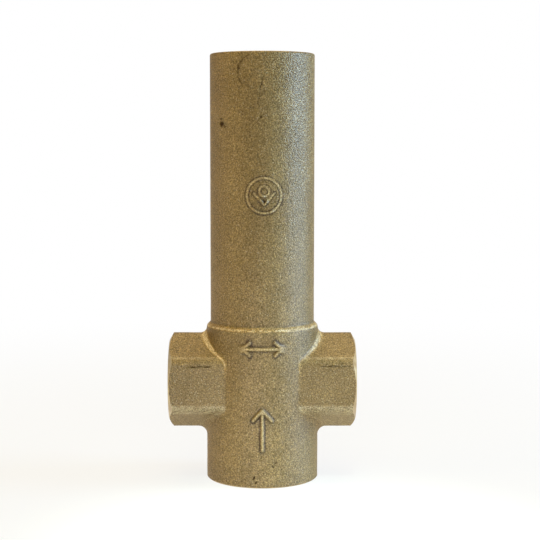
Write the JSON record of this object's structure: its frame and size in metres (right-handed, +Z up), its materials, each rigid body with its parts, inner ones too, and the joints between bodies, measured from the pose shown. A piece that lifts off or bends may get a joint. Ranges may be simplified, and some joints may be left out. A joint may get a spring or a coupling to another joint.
{
  "type": "pressure relief valve",
  "caption": "Spring-loaded pressure relief valve: forged brass body with a tall spring tube, hexagonal outlets in line across it, a threaded inlet below and an adjusting screw on top.",
  "frame": {"origin": "centre of the body's foot on the valve's axis, on the surface that it stands on", "axes": "+Z up along the valve's axis to the adjuster, X along the outlet ports, -Y towards the side that the picture shows"},
  "size_m": [0.0658, 0.0394, 0.15],
  "materials": {
    "forged_brass": "forged and shot-blasted, matt",
    "turned_brass": "turned, bright",
    "stainless": "ground",
    "plated_steel": "zinc plated",
    "spring_steel": "phosphated",
    "rubber": "matt",
    "ptfe": "waxy"
  },
  "bodies": {
    "housing": {"body": "forged_brass", "seat_retainer": "turned_brass", "valve_seat": "stainless", "seat_o_ring": "rubber", "seat_backup_ring": "ptfe", "stem_guide": "turned_brass", "guide_o_ring": "rubber", "stem_o_ring": "rubber", "stem_backup_ring": "ptfe", "stem_wiper": "ptfe", "main_spring": "spring_steel"},
    "valve": {"poppet": "stainless", "poppet_pin": "plated_steel", "stem": "stainless", "lift_stop_ring": "plated_steel", "lower_spring_plate": "plated_steel"},
    "spring_carrier": {"upper_spring_plate": "plated_steel", "thrust_ball": "stainless"},
    "adjuster": {"adjusting_screw": "turned_brass"},
    "nut_washer": {"lock_washer": "plated_steel"},
    "nut": {"lock_nut": "turned_brass"}
  },
  "joints": [
    {"name": "valve_lift", "type": "slide", "parent": "housing", "child": "valve", "axis": [0, 0, 1], "range_m": [0, 0.003], "stiffness_N_per_m": 3000, "springref_m": -0.002, "deforming": ["main_spring"]},
    {"name": "adjuster_travel", "type": "slide", "parent": "housing", "child": "spring_carrier", "axis": [0, 0, 1], "range_m": [-0.008, 0], "deforming": ["main_spring"]},
    {"name": "adjuster_turn", "type": "hinge", "parent": "spring_carrier", "child": "adjuster", "pos_m": [0, 0, 0.1305], "axis": [0, 0, 1], "range_deg": [-1921, 1]},
    {"name": "lock_nut_travel", "type": "slide", "parent": "housing", "child": "nut_washer", "axis": [0, 0, 1], "range_m": [0, 0.0045]},
    {"name": "lock_nut_turn", "type": "hinge", "parent": "nut_washer", "child": "nut", "pos_m": [0, 0, 0.142], "axis": [0, 0, 1], "range_deg": [-1, 1081]}
  ],
  "couplings": [
    {"joint": "adjuster_turn", "follows": "adjuster_travel", "rad_per_m": 4188.8},
    {"joint": "lock_nut_turn", "follows": "lock_nut_travel", "rad_per_m": 4188.8}
  ]
}
